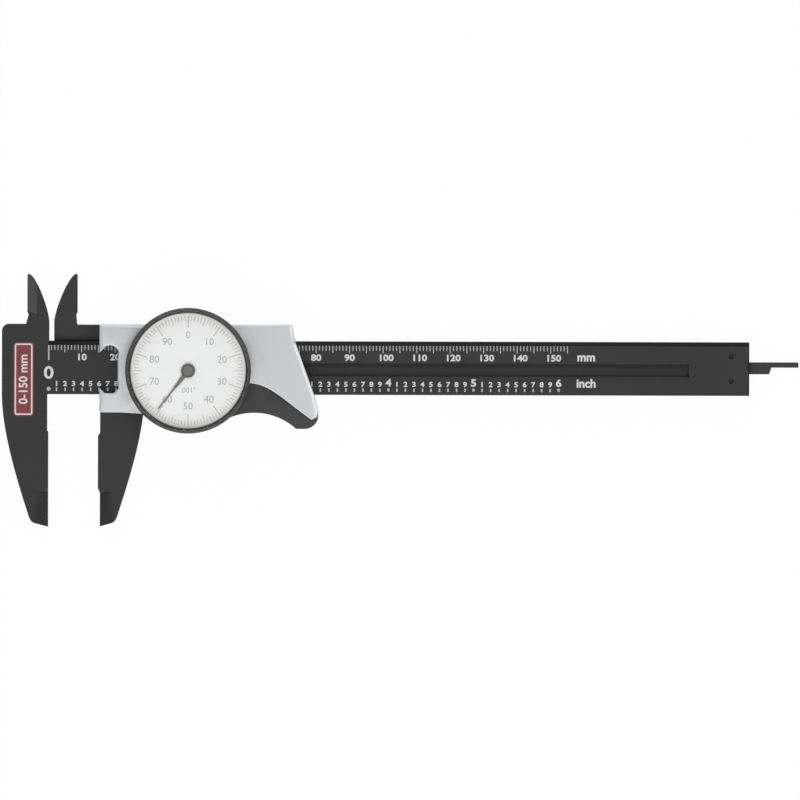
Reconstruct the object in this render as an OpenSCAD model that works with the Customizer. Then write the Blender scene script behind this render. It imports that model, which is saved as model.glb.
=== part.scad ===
// Dial caliper, 150 mm, with a moulded beam and slider and a geared dial.
// X runs along the beam from the measuring face of the fixed jaw.
// Y crosses the beam towards the inside jaws, with 0 on the beam's centre line.
// Z rises from the back, which rests on the table, to the dial.

/* [Pose] */
// Gap between the outside jaws as shown
jaw_opening = 14.94; // [0:0.01:155]

/* [Beam] */
// Width of the beam
beam_w = 16; // [15:0.1:17]
// Thickness of the beam
beam_t = 4.8; // [4.6:0.1:6]
// Distance from the zero line to the far end of the beam
beam_end = 209.3; // [206:0.1:215]
// Width of the bevel along the upper front edge
beam_bevel = 1.3; // [0.8:0.1:1.4]
// Depth of the rack groove on the front
groove_d = 1.7; // [1.6:0.1:1.9]
// Upper wall of the rack groove
groove_hi = 1.45; // [1.4:0.05:1.8]
// Lower wall of the rack groove
groove_lo = -2.43; // [-2.8:0.01:-2.3]
// Left end of the rack groove
groove_x0 = 30; // [28:0.1:31]
// Distance of the rack groove from the far end of the beam
groove_margin = 18.1; // [16:0.1:18.7]
// Diameter of the end stop pins
stop_pin_d = 1.5; // [1.2:0.1:2]
// Distance of the end stop pins from the far end of the beam
stop_pin_in = 5.4; // [4.6:0.1:6]
// Length of the end stop plate
stop_len = 7.9; // [7:0.1:8.4]

/* [Jaws] */
// Width of a jaw at its root
jaw_w = 13.8; // [13:0.1:15]
// Reach of the outside jaws below the beam
jaw_depth = 39.6; // [36:0.1:42]
// Height of the inside jaw tips above the beam
inside_h = 20; // [18:0.1:22]
// Distance of the inside measuring edges from the zero line
inside_x = 6.25; // [5.8:0.05:6.5]
// Height of the head above the beam
head_h = 5; // [4.6:0.1:5.4]
// Part of the head that stands past the zero line
head_lip = 0.3; // [0.2:0.05:0.4]
// Width of the knife edges
knife_w = 2.8; // [2:0.1:3.4]
// Depth of the knife edges of the outside jaws
knife_d = 2.2; // [1.5:0.1:3]
// Depth of the knife edges of the inside jaws
inside_d = 1.4; // [0.8:0.1:2]

/* [Slider] */
// Right end of the back plate when the jaws are closed
back_end = 46.4; // [45:0.1:48]
// Thickness of the back plate
back_t = 1.5; // [1.4:0.1:2]
// Lip of the moving inside jaw behind the beam
rail_lip = 1; // [0.6:0.1:1.4]
// Clearance all round the beam
run_gap = 0.2; // [0.15:0.01:0.25]
// Thickness of the floor in front of the beam
floor_t = 1.3; // [1.2:0.1:1.6]
// Left edge of the cover when the jaws are closed
cover_x0 = 0.46; // [0.44:0.01:0.6]
// Top edge of the cover above the beam
cover_up = 4.85; // [4.7:0.05:5.2]
// Lower edge of the cover below the beam
cover_down = 5.4; // [5.2:0.1:5.8]
// Thickness of the cover
cover_t = 1; // [0.9:0.1:1.2]
// Width of the bevel round the cover
rim_w = 0.9; // [0.5:0.1:1]
// Depth of the bevel round the cover
rim_d = 0.5; // [0.3:0.1:0.6]
// Width of the sloping part of the cover at its right edge
fold_w = 12.3; // [8:0.1:12.5]
// Drop of the sloping part at the right edge
fold_d = 0.4; // [0.2:0.05:0.4]
// Room between the floor and the cover
cover_room = 1.8; // [1.7:0.1:2.4]
// Radius of the thumb hook's tip
hook_r = 4.1; // [3.8:0.1:4.4]
// Radius of the hollow of the thumb hook
hollow_r = 18.8; // [18:0.1:19.5]
// Diameter of the case screws
screw_d = 2; // [1.6:0.1:2]

/* [Depth rod] */
// Upper edge of the rod
rod_hi = 2.06; // [1.9:0.01:2.2]
// Lower edge of the rod
rod_lo = -1.52; // [-1.7:0.01:-1.4]
// Thickness of the rod
rod_t = 1.5; // [1.2:0.1:1.6]
// Width of the narrow tip
rod_tip_w = 1.58; // [1.4:0.01:1.8]
// Length of the narrow tip
rod_tip_len = 8.4; // [6:0.1:10]

/* [Dial] */
// Dial centre along the beam when the jaws are closed
dial_x = 26.95; // [26.5:0.01:27.4]
// Dial centre across the beam
dial_y = -0.92; // [-1.1:0.01:-0.8]
// Outer radius of the bezel
bezel_r = 18.73; // [18.4:0.01:19]
// Radius of the visible dial
dial_view_r = 17.15; // [16.8:0.01:17.2]
// Thickness of the dial
dial_t = 0.5; // [0.4:0.1:0.6]
// Thickness of the crystal
crystal_t = 1.2; // [1:0.1:1.6]
// Length of the pointer from the dial centre
pointer_r = 14.5; // [13.5:0.1:15]
// Angle of the pointer with the jaws closed, clockwise from the top
pointer_zero = 260.4; // [0:0.1:360]

/* [Gear train] */
// Pitch of the rack teeth, four to 2.54
rack_pitch = 0.635; // [0.62:0.005:0.65]
// Teeth of the rack pinion
pinion_teeth = 12; // [12]
// Teeth of the drive gear
wheel_teeth = 48; // [48]
// Teeth of the centre pinion
centre_teeth = 16; // [16]
// Pressure angle of the teeth
tooth_angle = 25; // [24:0.5:26]
// Play between the flanks of a pair of teeth
backlash = 0.06; // [0.05:0.01:0.08]

/* [Hidden] */
$fn = 96;

black = [0.24, 0.24, 0.24];
dark = [0.3, 0.3, 0.3];
silver = [0.79, 0.8, 0.81];
steel = [0.6, 0.61, 0.62];
brass = [0.75, 0.62, 0.35];
white = [0.93, 0.93, 0.92];
clear = [0.85, 0.9, 0.95, 0.25];

// Working fits
fit = 0.02;
over = 1;

// Levels from the table up
half_w = beam_w / 2;
z_beam = back_t + run_gap;
z_front = z_beam + beam_t;
z_floor = z_front + run_gap;
z_deck = z_floor + floor_t;
z_cover = z_deck + cover_room;
z_face = z_cover + cover_t;
z_hook = z_cover - run_gap;
z_split = z_front / 2;
z_front_half = z_split + run_gap / 2;
z_back_half = z_split - run_gap / 2;
collar_h = 1.5;
z_collar = z_face + collar_h;
z_dial = z_collar + run_gap;
z_print = z_dial + dial_t;
dial_room = 1.2;
z_crystal = z_print + dial_room;
z_rim = z_crystal + crystal_t;
bezel_rim = 0.6;
bezel_lift = 0.3;
z_bezel = z_face + bezel_lift;

// Beam
groove_x1 = beam_end - groove_margin;
stop_pin_x = beam_end - stop_pin_in;
stop_side = half_w - 0.4;
pin_sink = 0.2;
pin_depth = 0.6;
end_bevel = 0.5;
rack_sink = 0.15;

// Outside jaws
jaw_tip = -half_w - jaw_depth;
knife_y = jaw_tip + 10.5;
knife_out = knife_w + 0.7;
knife_drop = knife_d * (1 + over / knife_out);
tip_w = 5.6;
tip_rise = 2.8;
back_bow = 8.3;
fixed_relief = 0.33;
fixed_relief_h = 11.2;
fixed_relief_y = -half_w - fixed_relief_h;
moving_relief = 0.63;
moving_relief_h = 12;
moving_relief_y = -half_w - moving_relief_h;
tip_relief = 0.56;

// Inside jaws
inside_tip = half_w + inside_h;
head_top = half_w + head_h;
notch_y = half_w + 8;
notch_d = 0.35;
notch_run = 2.6;
inside_round = 0.6;
inside_fall = 0.7;
inside_run = 1.7;
inside_swell = 3.4;
foot_y = head_top + 0.5;
fixed_foot = inside_x + head_lip;
moving_foot = 6.97;
moving_root = inside_x + moving_foot;

// Slider
rail_lo = half_w + run_gap;
cover_top = half_w + cover_up;
cover_bottom = -half_w - cover_down;
wall = 0.9;
wall_gap = 0.15;
rail_hi = cover_top - wall - wall_gap;
rail_step = z_split + run_gap;
rail_x0 = cover_x0 + wall + wall_gap;
edge_hi_x = 57.9;
edge_mid_x = 61.64;
edge_lo_x = 65.8;
edge_bend = 7.75;
edge_run = 2.78;
edge_drop = 0.6;
mid_slope = norm([edge_run, edge_bend]) / edge_bend;
low_slope = norm([edge_lo_x - edge_mid_x - edge_run, cover_bottom + edge_bend]) / -(cover_bottom + edge_bend);
skin = wall + wall_gap + 0.15;
right_x = edge_mid_x + edge_run - skin;
rim_over = 0.2;
fold_rim = 0.35;
foot_x = edge_lo_x - 0.4;
foot_drop = 1.3;
notch_x = 5.86;
notch_low = 0.36 - half_w;
notch_cut = 1.4;
notch_swell = 0.25;
swell_y = 3.4 - half_w;
lip_hi = half_w - 3.6;
lip_lo = 1.9 - half_w;
lobe_r = 2.5;
lobe_y = half_w - 3.95;
lobe_at = [cover_x0 + lobe_r * sqrt(2) + lobe_y - lip_hi, lobe_y];
notch_wall = 0.8;
hook_at = [61.65, -half_w - 6.1];
hook_x0 = 41;
hook_top = -1.5;
hook_flat = 5;
hook_run = 12;
hook_fall = 2.5;
hook_root = [34, cover_bottom - 2.6];
hook_heel = [37, cover_bottom - 4.4];
hollow_at = [46.6, cover_bottom - hollow_r];
hook_step = cover_bottom + 0.4;
screw_xs = [4.6, 38.5];
screw_hi = (rail_lo + rail_hi) / 2;
screw_lo = -half_w - 2.75;
boss_r = 1.9;
screw_sink = 0.1;
rail_end = 14;
back_in = 0.2;
border_end = [63.76, cover_bottom - 2.1];
border_start = [44.6, -4.55];

// Dial and bezel
bezel_wall = 1.33;
bore_r = bezel_r - bezel_wall;
collar_r = bore_r - 0.05;
collar_in = collar_r - 1.35;
movement_r = 13.2;
glass_r = bezel_r - 0.85;
wire_r = 0.3;
wire_z = z_bezel + 0.75;
wire_at = collar_r - 0.2;

// Gear train
module_size = rack_pitch / PI;
addendum = 0.9 * module_size;
dedendum = 1.2 * module_size;
pinion_r = pinion_teeth * module_size / 2;
wheel_r = wheel_teeth * module_size / 2;
centre_r = centre_teeth * module_size / 2;
rack_back = 0.45;
rack_line = groove_hi - rack_back - dedendum;
pinion_y = rack_line - pinion_r;
arbor_gap = wheel_r + centre_r;
pinion_x = dial_x + sqrt(arbor_gap * arbor_gap - (pinion_y - dial_y) * (pinion_y - dial_y));
rack_x0 = groove_x0 + run_gap;
rack_n = floor((groove_x1 - run_gap - rack_x0) / rack_pitch);
to_wheel = pinion_x + jaw_opening - rack_x0 - rack_pitch / 2;
pinion_turn = 90 + to_wheel / pinion_r * 180 / PI - 180 / pinion_teeth;
centre_dir = atan2(dial_y - pinion_y, dial_x - pinion_x);
centre_turn = centre_dir + 180 - (pinion_turn - centre_dir) * wheel_teeth / centre_teeth
    - 180 / centre_teeth;
per_turn = rack_pitch * pinion_teeth * centre_teeth / wheel_teeth;
pointer_angle = pointer_zero + 360 * jaw_opening / per_turn;
pinion_lift = 0.25;
z_pinion = z_front - groove_d + pinion_lift;
pinion_h = groove_d - pinion_lift - 0.1;
wheel_lift = 0.5;
z_wheel = z_deck + wheel_lift;
wheel_h = 0.5;
wheel_gap = 0.05;
z_takeup = z_wheel + wheel_h + wheel_gap;
takeup_h = 0.4;
takeup_r = 3;
spring_wire_r = 0.18;
z_bridge = z_deck + cover_room + 0.5;
bridge_t = 1;
pinion_shaft_r = 0.8;
pivot_r = 0.5;
shoulder_r = pinion_shaft_r + 0.6;
pointer_lift = 0.35;
pointer_t = 0.25;
pointer_eye_r = 1.9;
pointer_tip_w = 0.44;
pointer_root_w = 1.45;
hub_r = 2.1;
hub_t = 0.35;
z_pointer = z_print + pointer_lift;
z_hub = z_pointer + pointer_t;
centre_shaft_r = 0.6;
bridge_post = [30, 8.3];
bridge_w = 4.6;
bridge_eye_r = 3;
post_r = 2;
bridge_screw_r = 0.8;
bridge_head_r = 1.5;
bridge_head_h = 0.7;
slot_w = 0.4;
slot_d = 0.35;
pinion_bush_r = 2.2;
centre_bush_r = 1.6;
bridge_bush_r = 1.2;

// Gib spring in the upper rail
gib_x0 = 12;
gib_x1 = 34;
gib_t = 0.3;
gib_pocket = 1.1;
gib_room = 0.5;
gib_play = 0.03;
gib_h = 2.4;
gib_z0 = z_beam + (beam_t - beam_bevel - gib_h) / 2;
gib_z1 = gib_z0 + gib_h;

// Depth rod
z_rod = z_beam + run_gap;
rod_groove_d = rod_t + 2 * run_gap;
rod_x0 = 30;
rod_end_gap = 0.2;
rod_x1 = beam_end - rod_end_gap - rod_tip_len;
rod_in = 0.1;
rod_foot = 6;
rod_slant = 0.7;
rod_pin_x = rod_x0 + rod_foot / 2;
rod_pin_r = 0.8;
rod_pin_y = (rod_hi + rod_lo) / 2;
stop_pin_ys = [rod_hi + run_gap + 1.54, rod_lo - run_gap - 1.88];

// Smooth curve from a to d with the handles b and c
function curve(a, b, c, d, n = 12) = [
    for (i = [0 : n])
    let (t = i / n, u = 1 - t)
    u * u * u * a + 3 * u * u * t * b + 3 * u * t * t * c + t * t * t * d
];

// Back of an outside jaw and its rounded tip, as distances from the measuring face
function jaw_back(top) = concat(
    curve(
        [jaw_w, top],
        [jaw_w, moving_relief_y],
        [back_bow, jaw_tip + 4 * tip_rise],
        [tip_w, jaw_tip + tip_rise]
    ),
    [
        for (t = [1 : 3])
        [tip_w - t * t * 0.05 - t * 0.32, jaw_tip + tip_rise - t * 0.85 + t * t * 0.1]
    ]
);

// Tip and back of an inside jaw, as distances from the measuring edge
function inside_back(foot) = concat(
    [
        [0, inside_tip - inside_round],
        [inside_round / 4, inside_tip - inside_round / 5]
    ],
    curve(
        [inside_round * 3 / 4, inside_tip],
        [inside_round * 3 / 4 + inside_fall + inside_run, inside_tip - inside_fall],
        [foot, foot_y + inside_swell],
        [foot, foot_y]
    )
);

// Corner of an outline, rounded between two directions
function corner(at, r, from, n = 6) = [
    for (i = [0 : n]) at + r * [cos(from - 90 * i / n), sin(from - 90 * i / n)]
];

// Involute of a base circle at a radius, in degrees
function involute(base, r) =
    let (phi = acos(min(1, base / r))) tan(phi) * 180 / PI - phi;

// Half of a tooth's angle at a radius
function tooth_half(teeth, r) =
    let (pitch_r = teeth * module_size / 2, base = pitch_r * cos(tooth_angle))
    (rack_pitch - backlash) / 4 / pitch_r * 180 / PI
        + involute(base, pitch_r) - involute(base, max(base, r));

function polar(r, a) = [r * cos(a), r * sin(a)];

// Outline of a gear with a tooth centred on the X axis
function gear_points(teeth) =
    let (
        pitch_r = teeth * module_size / 2,
        base = pitch_r * cos(tooth_angle),
        radii = [pitch_r - dedendum, max(base, pitch_r - dedendum + 0.02), pitch_r, pitch_r + addendum]
    )
    [
        for (k = [0 : teeth - 1])
        for (j = [0 : 7])
        let (
            r = radii[j < 4 ? j : 7 - j],
            side = j < 4 ? -1 : 1
        )
        polar(r, k * 360 / teeth + side * tooth_half(teeth, r))
    ];

module gear(teeth, height) {
    linear_extrude(height) polygon(gear_points(teeth));
}

module at_slider() {
    translate([jaw_opening, 0, 0]) children();
}

module at_dial() {
    translate([jaw_opening + dial_x, dial_y, 0]) children();
}

module at_pinion() {
    translate([jaw_opening + pinion_x, pinion_y, 0]) children();
}

module slab(x0, x1, y0, y1, z0, z1) {
    translate([x0, y0, z0]) cube([x1 - x0, y1 - y0, z1 - z0]);
}

module rod_z(r, z0, z1) {
    translate([0, 0, z0]) cylinder(r = r, h = z1 - z0);
}

// Prism along X with its outline in Y and Z
module prism_x(x0, x1, points) {
    translate([x0, 0, 0])
    rotate([90, 0, 90])
    linear_extrude(x1 - x0)
    polygon(points);
}

// Prism along Y with its outline in X and Z
module prism_y(y0, y1, points) {
    translate([0, y1, 0])
    rotate([90, 0, 0])
    linear_extrude(y1 - y0)
    polygon(points);
}

// Outside jaw of the beam, drawn to the right of the measuring face
module fixed_jaw_outline() {
    polygon(concat(
        [[-head_lip, half_w]],
        [[jaw_w, half_w]],
        jaw_back(-half_w),
        [
            [0, jaw_tip],
            [0, fixed_relief_y],
            [fixed_relief, fixed_relief_y + 0.3],
            [fixed_relief, -half_w],
            [-head_lip, -half_w]
        ]
    ));
}

// Head above the beam with the fixed inside jaw
module head_outline() {
    corner_r = 2.1;
    polygon(concat(
        [[-jaw_w, half_w - 1]],
        corner([corner_r - jaw_w, head_top - corner_r], corner_r, 180),
        [
            [-inside_x - notch_d, head_top],
            [notch_d - inside_x, head_top + notch_run],
            [notch_d - inside_x, notch_y],
            [-inside_x, notch_y + notch_d]
        ],
        [for (p = inside_back(fixed_foot)) [p[0] - inside_x, p[1]]],
        [[head_lip, half_w - 1]]
    ));
}

module beam() {
    color(black)
    difference() {
        union() {
            slab(-over, beam_end, -half_w, half_w, z_beam, z_front);
            linear_extrude(z_front) mirror([1, 0]) fixed_jaw_outline();
            translate([0, 0, z_front_half]) linear_extrude(z_front - z_front_half) head_outline();
        }
        // Room for the moving inside jaw behind the head
        slab(-jaw_w - over, head_lip + over, half_w, head_top, -over, z_front_half);
        slab(-jaw_w - over, head_lip + over, half_w - rail_lip - run_gap, head_top, -over, z_beam);
        // Bevel along the upper front edge
        prism_x(head_lip, beam_end + over, [
            [half_w - beam_bevel, z_front],
            [half_w, z_front - beam_bevel],
            [half_w + over, z_front - beam_bevel],
            [half_w + over, z_front + over],
            [half_w - beam_bevel, z_front + over]
        ]);
        // Bevel on the far end
        prism_y(-half_w - over, half_w + over, [
            [beam_end - end_bevel, z_front],
            [beam_end, z_front - end_bevel],
            [beam_end + over, z_front - end_bevel],
            [beam_end + over, z_front + over],
            [beam_end - end_bevel, z_front + over]
        ]);
        // Groove of the rack and groove of the depth rod
        slab(groove_x0, groove_x1, groove_lo, groove_hi, z_front - groove_d, z_front + over);
        slab(rod_x0 - 2, beam_end + over, rod_lo - run_gap, rod_hi + run_gap, -over, z_beam + rod_groove_d);
        // Knife edge of the outside jaw
        prism_y(jaw_tip - over, knife_y, [
            [-knife_out, z_front],
            [over, z_front - knife_drop],
            [over, z_front + over],
            [-knife_out, z_front + over]
        ]);
        // Knife edge of the inside jaw
        prism_y(notch_y, inside_tip + over, [
            [knife_w - inside_x, z_front],
            [-inside_x, z_front - inside_d],
            [-inside_x - over, z_front - inside_d],
            [-inside_x - over, z_front + over],
            [knife_w - inside_x, z_front + over]
        ]);
        for (y = stop_pin_ys)
            translate([stop_pin_x, y, 0]) rod_z(stop_pin_d / 2 + fit, z_beam - over, z_front + over);
    }
}

module gear_rack() {
    tip = rack_line - addendum;
    root = rack_line + dedendum;
    half = (rack_pitch - backlash) / 4;
    color(steel)
    translate([rack_x0, 0, z_front - groove_d])
    linear_extrude(groove_d - rack_sink)
    polygon(concat(
        [[0, groove_hi]],
        [
            for (k = [0 : rack_n - 1])
            for (j = [0 : 3])
            let (
                mid = (k + 0.5) * rack_pitch,
                out = half - addendum * tan(tooth_angle),
                deep = half + dedendum * tan(tooth_angle),
                dx = [-deep, -out, out, deep][j]
            )
            [mid + dx, j == 0 || j == 3 ? root : tip]
        ],
        [[rack_n * rack_pitch, groove_hi]]
    ));
}

module end_stop() {
    color(black)
    difference() {
        slab(beam_end - stop_len, beam_end, -stop_side, stop_side, 0, z_beam);
        for (y = stop_pin_ys)
            translate([stop_pin_x, y, 0]) rod_z(stop_pin_d / 2 + fit, -over, z_beam + over);
    }
}

module end_stop_pins() {
    color(dark)
    for (y = stop_pin_ys)
        translate([stop_pin_x, y, 0]) rod_z(stop_pin_d / 2, pin_sink, z_front - pin_depth);
}

// Outline of the cover, drawn in by d all round
function cover_outline(d) = [
    [cover_x0 + d, cover_bottom + d],
    [cover_x0 + d, cover_top - d],
    [edge_hi_x - d, cover_top - d],
    [edge_mid_x - edge_run - mid_slope * d, edge_bend],
    [edge_mid_x + edge_run - mid_slope * d, -edge_bend],
    [edge_lo_x - low_slope * d, cover_bottom + edge_drop - d]
];

// Edge of the reading notch from its lower lip to its round lobe, widened by w
function notch_edge(w) =
    let (
        lo = lip_lo - w * sqrt(2),
        low = notch_low - w,
        right = notch_x + notch_swell + w,
        cut = notch_cut + w * (2 - sqrt(2))
    )
    [
        [cover_x0, lo],
        [cover_x0 + lo - low, low],
        [right - cut, low],
        [right, low + cut],
        [right, swell_y],
        [notch_x + w, swell_y + notch_swell],
        [notch_x + w, lobe_y]
    ];

// Place where the upper lip of the notch, widened by w, meets the round lobe
function lobe_touch(w) = lobe_at + (lobe_r + w) * sqrt(1 / 2) * [-1, 1];

// Bevelled edges of the cover, each drawn with the cover on its right hand
lower_rim = [[cover_x0, cover_bottom], [cover_x0, lip_lo]];
upper_rim = [[cover_x0, lip_hi], [cover_x0, cover_top], [edge_hi_x, cover_top]];
right_rim = [
    [edge_hi_x, cover_top],
    [edge_mid_x - edge_run, edge_bend],
    [edge_mid_x + edge_run, -edge_bend],
    [edge_lo_x, cover_bottom + edge_drop],
    [foot_x, cover_bottom - foot_drop]
];

// Lower edge of the cover above the thumb hook
function hook_border() = curve(border_end, border_end + [-9, 6.4], border_start + [6.4, 0], border_start, 10);

module cover_plan() {
    difference() {
        union() {
            polygon(concat(
                cover_outline(0),
                [[foot_x, cover_bottom - foot_drop]],
                hook_border(),
                [[dial_x, dial_y], [rail_end, cover_bottom - 0.4], [rail_end / 2, cover_bottom]]
            ));
            translate([dial_x, dial_y]) circle(collar_r);
        }
        translate([dial_x, dial_y]) circle(movement_r);
    }
}

// Reading notch in the left edge, widened by w, with slanted lips
module reading_notch(w) {
    edge = notch_edge(w);
    reach = cover_x0 + over;
    translate(lobe_at) circle(lobe_r + w);
    polygon(concat(
        [edge[0] + reach * [-1, 1]],
        edge,
        [lobe_touch(w), [-over, lip_hi + w * sqrt(2) - reach]]
    ));
}

// Bevel along the front edge from a to b, w wide and d deep, longer by e at both ends
module rim_cut(a, b, w, d, e) {
    translate([a[0], a[1], z_face])
    rotate([0, 0, atan2(b[1] - a[1], b[0] - a[0])])
    prism_x(-e, norm(b - a) + e, [
        [-w, 0],
        [over * 2, -d * (1 + 2 * over / w)],
        [over * 2, over],
        [-w, over]
    ]);
}

module rim_path(points, w, d) {
    for (i = [1 : len(points) - 1]) rim_cut(points[i - 1], points[i], w, d, rim_over);
}

module slider_cover() {
    color(silver)
    at_slider()
    difference() {
        union() {
            translate([0, 0, z_cover]) linear_extrude(cover_t) cover_plan();
            // Side walls over the rails and the beam
            difference() {
                translate([0, 0, rail_step]) linear_extrude(z_cover - rail_step)
                difference() {
                    polygon(concat(cover_outline(0), [[rail_end, cover_bottom]]));
                    polygon(concat(cover_outline(wall), [[rail_end, cover_bottom + wall]]));
                }
                slab(-over, edge_lo_x + over, cover_bottom - over, -half_w + run_gap, -over, z_floor);
                slab(-over, edge_lo_x + over, -rail_lo, rail_lo, -over, z_floor);
                slab(rail_end, right_x, cover_bottom - over, -half_w, -over, z_cover + over);
            }
            // Wall round the reading notch
            translate([0, 0, z_floor]) linear_extrude(z_cover - z_floor)
            difference() {
                intersection() {
                    reading_notch(notch_wall);
                    translate([cover_x0, -half_w]) square([notch_x + 2 * notch_wall, beam_w]);
                }
                reading_notch(0);
            }
            translate([dial_x, dial_y, 0]) rod_z(collar_r, z_cover, z_collar);
            for (x = screw_xs)
            for (y = [screw_lo, screw_hi])
                translate([x, y, 0]) rod_z(boss_r, z_deck, z_cover + 0.2);
        }
        translate([0, 0, z_floor - over]) linear_extrude(z_face - z_floor + 2 * over) reading_notch(0);
        rim_path(lower_rim, rim_w, rim_d);
        rim_path(upper_rim, rim_w, rim_d);
        // Slope towards the right edge and the bevel below it
        rim_path(right_rim, rim_w * (1 + fold_d / fold_rim), fold_d + fold_rim);
        rim_cut(
            [edge_mid_x - edge_run, edge_bend],
            [edge_mid_x + edge_run, -edge_bend],
            fold_w, fold_d, beam_w
        );
        translate([dial_x, dial_y, 0]) rod_z(movement_r, z_cover - over, z_face + over);
        translate([dial_x, dial_y, 0]) rod_z(collar_in, z_face, z_collar + over);
        translate([dial_x, dial_y, wire_z])
            rotate_extrude() translate([wire_at, 0]) circle(wire_r + fit, $fn = 24);
        for (x = screw_xs)
        for (y = [screw_lo, screw_hi])
            translate([x, y, 0]) rod_z(screw_d / 2 + fit, z_deck - over, z_cover);
    }
}

// Outside jaw of the slider, from the rail down
module moving_jaw_outline() {
    polygon(concat(
        [[moving_relief, -rail_lo]],
        jaw_back(-rail_lo),
        [
            [tip_relief, jaw_tip + 0.15],
            [tip_relief, knife_y - 0.3],
            [0, knife_y + 1.1],
            [0, moving_relief_y - 0.3],
            [moving_relief, moving_relief_y + 0.5]
        ]
    ));
}

// Inside jaw of the slider with the rail that carries it
module moving_inside_outline() {
    polygon(concat(
        [for (p = inside_back(moving_foot)) [-inside_x - p[0], p[1]]],
        [
            [-moving_root, rail_lo],
            [rail_x0, rail_lo],
            [rail_x0, cover_top],
            [-inside_x, cover_top],
            [-inside_x - notch_d / 2, cover_top + notch_d],
            [-inside_x - notch_d, cover_top + notch_run],
            [-inside_x - notch_d, notch_y],
            [-inside_x, notch_y + notch_d]
        ]
    ));
}

module hook_outline() {
    difference() {
        union() {
            translate(hook_at) circle(hook_r);
            polygon([
                [hook_root[0], -rail_lo],
                hook_root,
                hook_heel,
                [hook_at[0], hook_at[1] - hook_r],
                [hook_at[0] + hook_r, hook_at[1]],
                [edge_lo_x - 0.1, hook_step],
                [edge_lo_x - skin, hook_step],
                [right_x, -rail_lo]
            ]);
        }
        translate(hollow_at) circle(hollow_r, $fn = 180);
    }
}

module slider_body() {
    color(black)
    at_slider()
    difference() {
        union() {
            linear_extrude(z_front) intersection() {
                moving_jaw_outline();
                translate([-over, jaw_tip - over]) square([jaw_w + 2 * over, cover_bottom - jaw_tip + over]);
            }
            translate([0, 0, back_t]) linear_extrude(z_front - back_t) moving_jaw_outline();
            linear_extrude(z_back_half) difference() {
                moving_inside_outline();
                translate([cover_x0 + 0.1, 0]) square([over * 4, head_top + over]);
            }
            translate([0, 0, back_t]) linear_extrude(z_back_half - back_t) moving_inside_outline();
            slab(-moving_root, cover_x0 + 0.1, half_w - rail_lip, rail_lo + run_gap, 0, back_t);
            // Rails above and below the beam
            slab(cover_x0 + 0.1, edge_hi_x - skin, rail_lo, cover_top, back_t, z_back_half);
            slab(rail_x0, edge_hi_x - skin, rail_lo, rail_hi, back_t, z_deck);
            slab(jaw_w - 2, hook_x0, cover_bottom + 0.1, -rail_lo, back_t, z_front);
            slab(rail_x0, hook_x0, cover_bottom + wall + wall_gap, -rail_lo, back_t, z_deck);
            // Floor in front of the beam
            translate([0, 0, z_floor]) linear_extrude(floor_t) polygon([
                [notch_x + notch_wall + 0.3, rail_hi],
                [edge_hi_x - skin, rail_hi],
                [edge_mid_x - edge_run - skin, edge_bend],
                [right_x, -edge_bend],
                [right_x, -rail_lo - 0.5],
                [notch_x + notch_wall + 0.3, -rail_lo - 0.5]
            ]);
            // Thumb hook and the part of it in front of the beam
            translate([0, 0, back_t]) linear_extrude(z_hook - back_t) hook_outline();
            translate([0, 0, z_floor]) linear_extrude(z_hook - z_floor) polygon([
                [hook_x0, hook_top],
                [hook_x0 + hook_flat, hook_top],
                [hook_x0 + hook_run, hook_top - hook_fall],
                [right_x, -edge_bend],
                [right_x, -rail_lo - 0.5],
                [hook_x0, -rail_lo - 0.5]
            ]);
            // Posts of the movement bridge
            for (side = [-1, 1])
                translate([bridge_post[0], dial_y + side * bridge_post[1], 0])
                    rod_z(post_r, z_deck - wall_gap, z_bridge);
        }
        // Room for the cover's right wall above the hook
        translate([0, 0, z_front]) linear_extrude(z_cover) polygon([
            [right_x, -half_w],
            [edge_lo_x - skin, hook_step],
            [edge_lo_x + over, hook_step],
            [edge_lo_x + over, -half_w]
        ]);
        // Knife edges
        prism_y(jaw_tip - over, knife_y, [
            [knife_out + tip_relief, z_front],
            [tip_relief - over, z_front - knife_drop],
            [tip_relief - over, z_front + over],
            [knife_out + tip_relief, z_front + over]
        ]);
        prism_y(notch_y, inside_tip + over, [
            [-inside_x - knife_w, 0],
            [-inside_x, inside_d],
            [over - inside_x, inside_d],
            [over - inside_x, -over],
            [-inside_x - knife_w, -over]
        ]);
        // Pocket of the gib spring
        slab(
            gib_x0 - gib_room, gib_x1 + gib_room,
            rail_lo - over, rail_lo + gib_pocket,
            gib_z0 - run_gap, gib_z1 + run_gap
        );
        for (x = screw_xs)
        for (y = [screw_lo, screw_hi])
            translate([x, y, 0]) {
                rod_z(screw_d / 2 + fit, -over, z_deck + over);
                rod_z(boss_r + wall_gap, z_deck, z_cover + over);
            }
        for (side = [-1, 1])
            translate([bridge_post[0], dial_y + side * bridge_post[1], 0])
                rod_z(bridge_screw_r + fit, z_floor + 0.4, z_bridge + over);
        translate([pinion_x, pinion_y, 0]) rod_z(pinion_bush_r + fit, z_floor - over, z_deck + over);
        translate([dial_x, dial_y, 0]) rod_z(centre_bush_r + fit, z_floor - over, z_deck + over);
    }
}

module back_plate() {
    color(black)
    at_slider()
    difference() {
        union() {
            slab(cover_x0 + back_in, back_end, cover_bottom + back_in, cover_top - back_in, 0, back_t);
            slab(rod_x0 + rod_in, rod_x0 + rod_foot, rod_lo + rod_in, rod_hi - rod_in, 0, z_rod);
        }
        for (x = screw_xs)
        for (y = [screw_lo, screw_hi])
            translate([x, y, 0]) {
                rod_z(screw_d / 2 + fit, -over, back_t + over);
                translate([0, 0, -fit]) cylinder(r1 = screw_d + fit, r2 = screw_d / 2 + fit, h = screw_d / 2);
            }
        translate([rod_pin_x, rod_pin_y, 0]) rod_z(rod_pin_r + fit, -over, z_rod + over);
    }
}

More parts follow.
